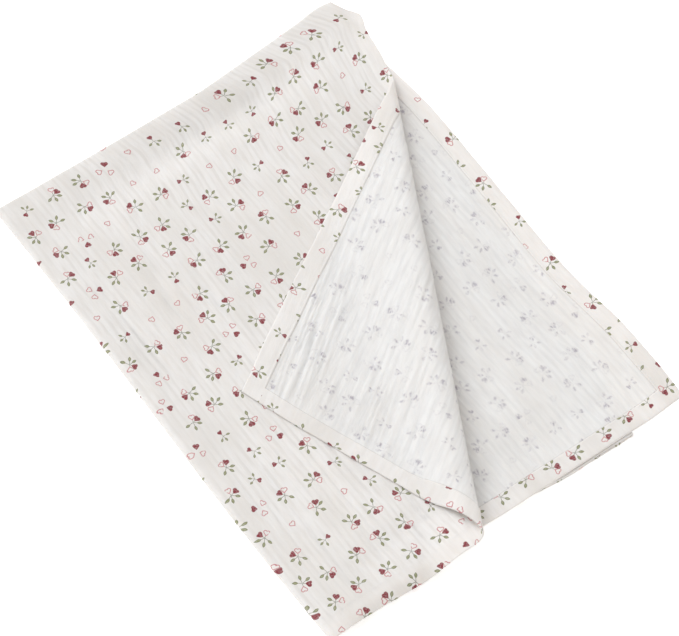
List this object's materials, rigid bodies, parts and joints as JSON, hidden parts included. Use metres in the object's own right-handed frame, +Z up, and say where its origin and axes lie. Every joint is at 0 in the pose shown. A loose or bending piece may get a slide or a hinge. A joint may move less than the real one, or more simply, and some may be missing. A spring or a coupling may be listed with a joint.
{
  "type": "folded swaddle blanket",
  "caption": "Muslin swaddle blanket folded in quarters, its top corner turned back in a soft roll to show the hemmed inside.",
  "frame": {"origin": "middle of the folded blanket's box, on the surface that it lies on", "axes": "+Z up; +Y along the folded blanket, from the open hemmed end to the short fold; +X across it, from the long fold to the open side"},
  "size_m": [0.3978, 0.534, 0.0346],
  "materials": {
    "double_gauze": "soft crinkled cotton muslin, warm white with a small heart and leaf print outside, the print's pale ghost inside"
  },
  "bodies": {
    "root": {"blanket": "double_gauze"}
  },
  "joints": []
}
